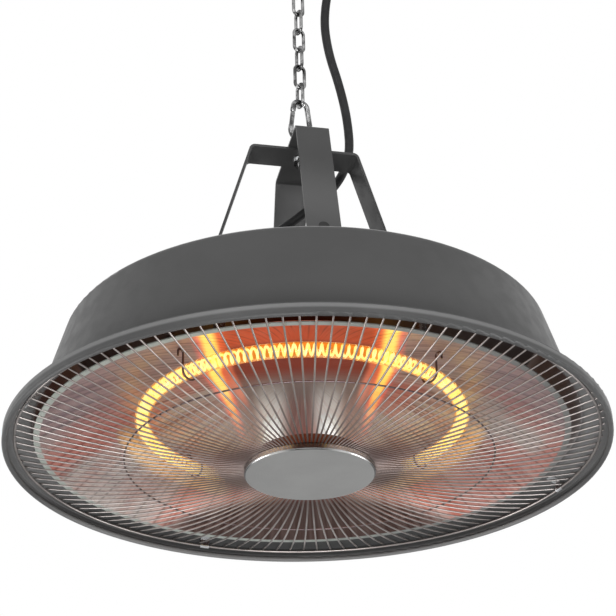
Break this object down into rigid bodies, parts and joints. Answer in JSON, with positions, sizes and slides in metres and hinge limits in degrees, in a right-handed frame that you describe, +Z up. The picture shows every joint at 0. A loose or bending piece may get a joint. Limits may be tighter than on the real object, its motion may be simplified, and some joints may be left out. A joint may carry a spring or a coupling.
{
  "type": "hanging patio heater",
  "caption": "Round face-down electric heater with a ring lamp, dished reflector and wire grille, hung by crossed straps and a chain from a ceiling hook",
  "frame": {"origin": "centre of the ceiling plate's top face", "axes": "+Z up through the ceiling plate, the heater hangs below; -Y towards the viewer of the picture, +X to their right"},
  "size_m": [0.425, 0.425, 0.542],
  "materials": {
    "housing_paint": "satin grey coating",
    "strap_paint": "satin grey coating",
    "plate_paint": "satin grey coating",
    "reflector_metal": "polished, lit orange by the lamp",
    "lamp_glass": "clear quartz",
    "lamp_glow": "glowing winding",
    "ceramic": "matt",
    "wire_steel": "plated wire",
    "hub_metal": "satin",
    "plated_steel": "zinc plated",
    "chain_steel": "bright plated",
    "sleeving": "woven glass sleeving look",
    "black_plastic": "moulded",
    "brown_plastic": "core insulation",
    "blue_plastic": "core insulation",
    "green_plastic": "core insulation",
    "brass_metal": "plain",
    "cord_rubber": "matt black sheath",
    "tie_fabric": "woven band"
  },
  "bodies": {
    "ceiling": {"ceiling_plate": "plate_paint", "ceiling_hook": "plated_steel", "cord_peg": "plated_steel", "mains_cord_coil": "cord_rubber", "coil_tie": "tie_fabric", "plug_body": "cord_rubber", "plug_pins": "brass_metal"},
    "link_8": {"chain_link_8": "chain_steel"},
    "link_7": {"chain_link_7": "chain_steel"},
    "link_6": {"chain_link_6": "chain_steel"},
    "link_5": {"chain_link_5": "chain_steel"},
    "link_4": {"chain_link_4": "chain_steel"},
    "link_3": {"chain_link_3": "chain_steel"},
    "link_2": {"chain_link_2": "chain_steel"},
    "link_1": {"chain_link_1": "chain_steel"},
    "snap_hook": {"snap_hook": "plated_steel", "snap_gate_pin": "plated_steel"},
    "gate": {"snap_gate": "plated_steel"},
    "heater": {"housing": "housing_paint", "reflector": "reflector_metal", "reflector_spacers": "plated_steel", "spacer_screws": "plated_steel", "lamp_tube": "lamp_glass", "lamp_winding": "lamp_glow", "lamp_caps": "ceramic", "lamp_supports": "wire_steel", "lamp_leads": "sleeving", "grille_rim_ring": "wire_steel", "grille_support_ring": "wire_steel", "grille_spokes": "wire_steel", "grille_hub": "hub_metal", "grille_hub_clamp": "plated_steel", "grille_hub_rivet": "plated_steel", "grille_clips": "plated_steel", "front_strap": "strap_paint", "side_strap": "strap_paint", "strap_plugs": "black_plastic", "strap_screws": "plated_steel", "strap_nuts": "plated_steel", "eye_bolt": "plated_steel", "eye_washers": "plated_steel", "eye_nut": "plated_steel", "cable_gland": "black_plastic", "gland_nut": "black_plastic", "terminal_block": "ceramic", "core_live": "brown_plastic", "core_neutral": "blue_plastic", "core_earth": "green_plastic", "earth_tag": "brass_metal", "mains_cord": "cord_rubber"}
  },
  "joints": [
    {"name": "link_8_swing", "type": "hinge", "parent": "ceiling", "child": "link_8", "pos_m": [0, 0, -0.0931], "axis": [0.5, -0.866, 0], "range_deg": [-8, 8]},
    {"name": "link_7_swing", "type": "hinge", "parent": "link_8", "child": "link_7", "pos_m": [0, 0, -0.10955], "axis": [0.866, 0.5, 0], "range_deg": [-8, 8]},
    {"name": "link_6_swing", "type": "hinge", "parent": "link_7", "child": "link_6", "pos_m": [0, 0, -0.12715], "axis": [0.5, -0.866, 0], "range_deg": [-8, 8]},
    {"name": "link_5_swing", "type": "hinge", "parent": "link_6", "child": "link_5", "pos_m": [0, 0, -0.14475], "axis": [0.866, 0.5, 0], "range_deg": [-8, 8]},
    {"name": "link_4_swing", "type": "hinge", "parent": "link_5", "child": "link_4", "pos_m": [0, 0, -0.16235], "axis": [0.5, -0.866, 0], "range_deg": [-8, 8]},
    {"name": "link_3_swing", "type": "hinge", "parent": "link_4", "child": "link_3", "pos_m": [0, 0, -0.17995], "axis": [0.866, 0.5, 0], "range_deg": [-8, 8]},
    {"name": "link_2_swing", "type": "hinge", "parent": "link_3", "child": "link_2", "pos_m": [0, 0, -0.19755], "axis": [0.5, -0.866, 0], "range_deg": [-8, 8]},
    {"name": "link_1_swing", "type": "hinge", "parent": "link_2", "child": "link_1", "pos_m": [0, 0, -0.21515], "axis": [0.866, 0.5, 0], "range_deg": [-8, 8]},
    {"name": "snap_hook_swing", "type": "hinge", "parent": "link_1", "child": "snap_hook", "pos_m": [0, 0, -0.23275], "axis": [0.5, -0.866, 0], "range_deg": [-8, 8]},
    {"name": "gate_hinge", "type": "hinge", "parent": "snap_hook", "child": "gate", "pos_m": [-0.00565, -0.00326, -0.23785], "axis": [0.5, -0.866, 0], "range_deg": [0, 22], "stiffness_Nm_per_rad": 0.02, "springref_deg": -20.05},
    {"name": "heater_swing", "type": "hinge", "parent": "snap_hook", "child": "heater", "pos_m": [0, 0, -0.2644], "axis": [0.866, 0.5, 0], "range_deg": [-8, 8], "deforming": ["mains_cord"]}
  ]
}
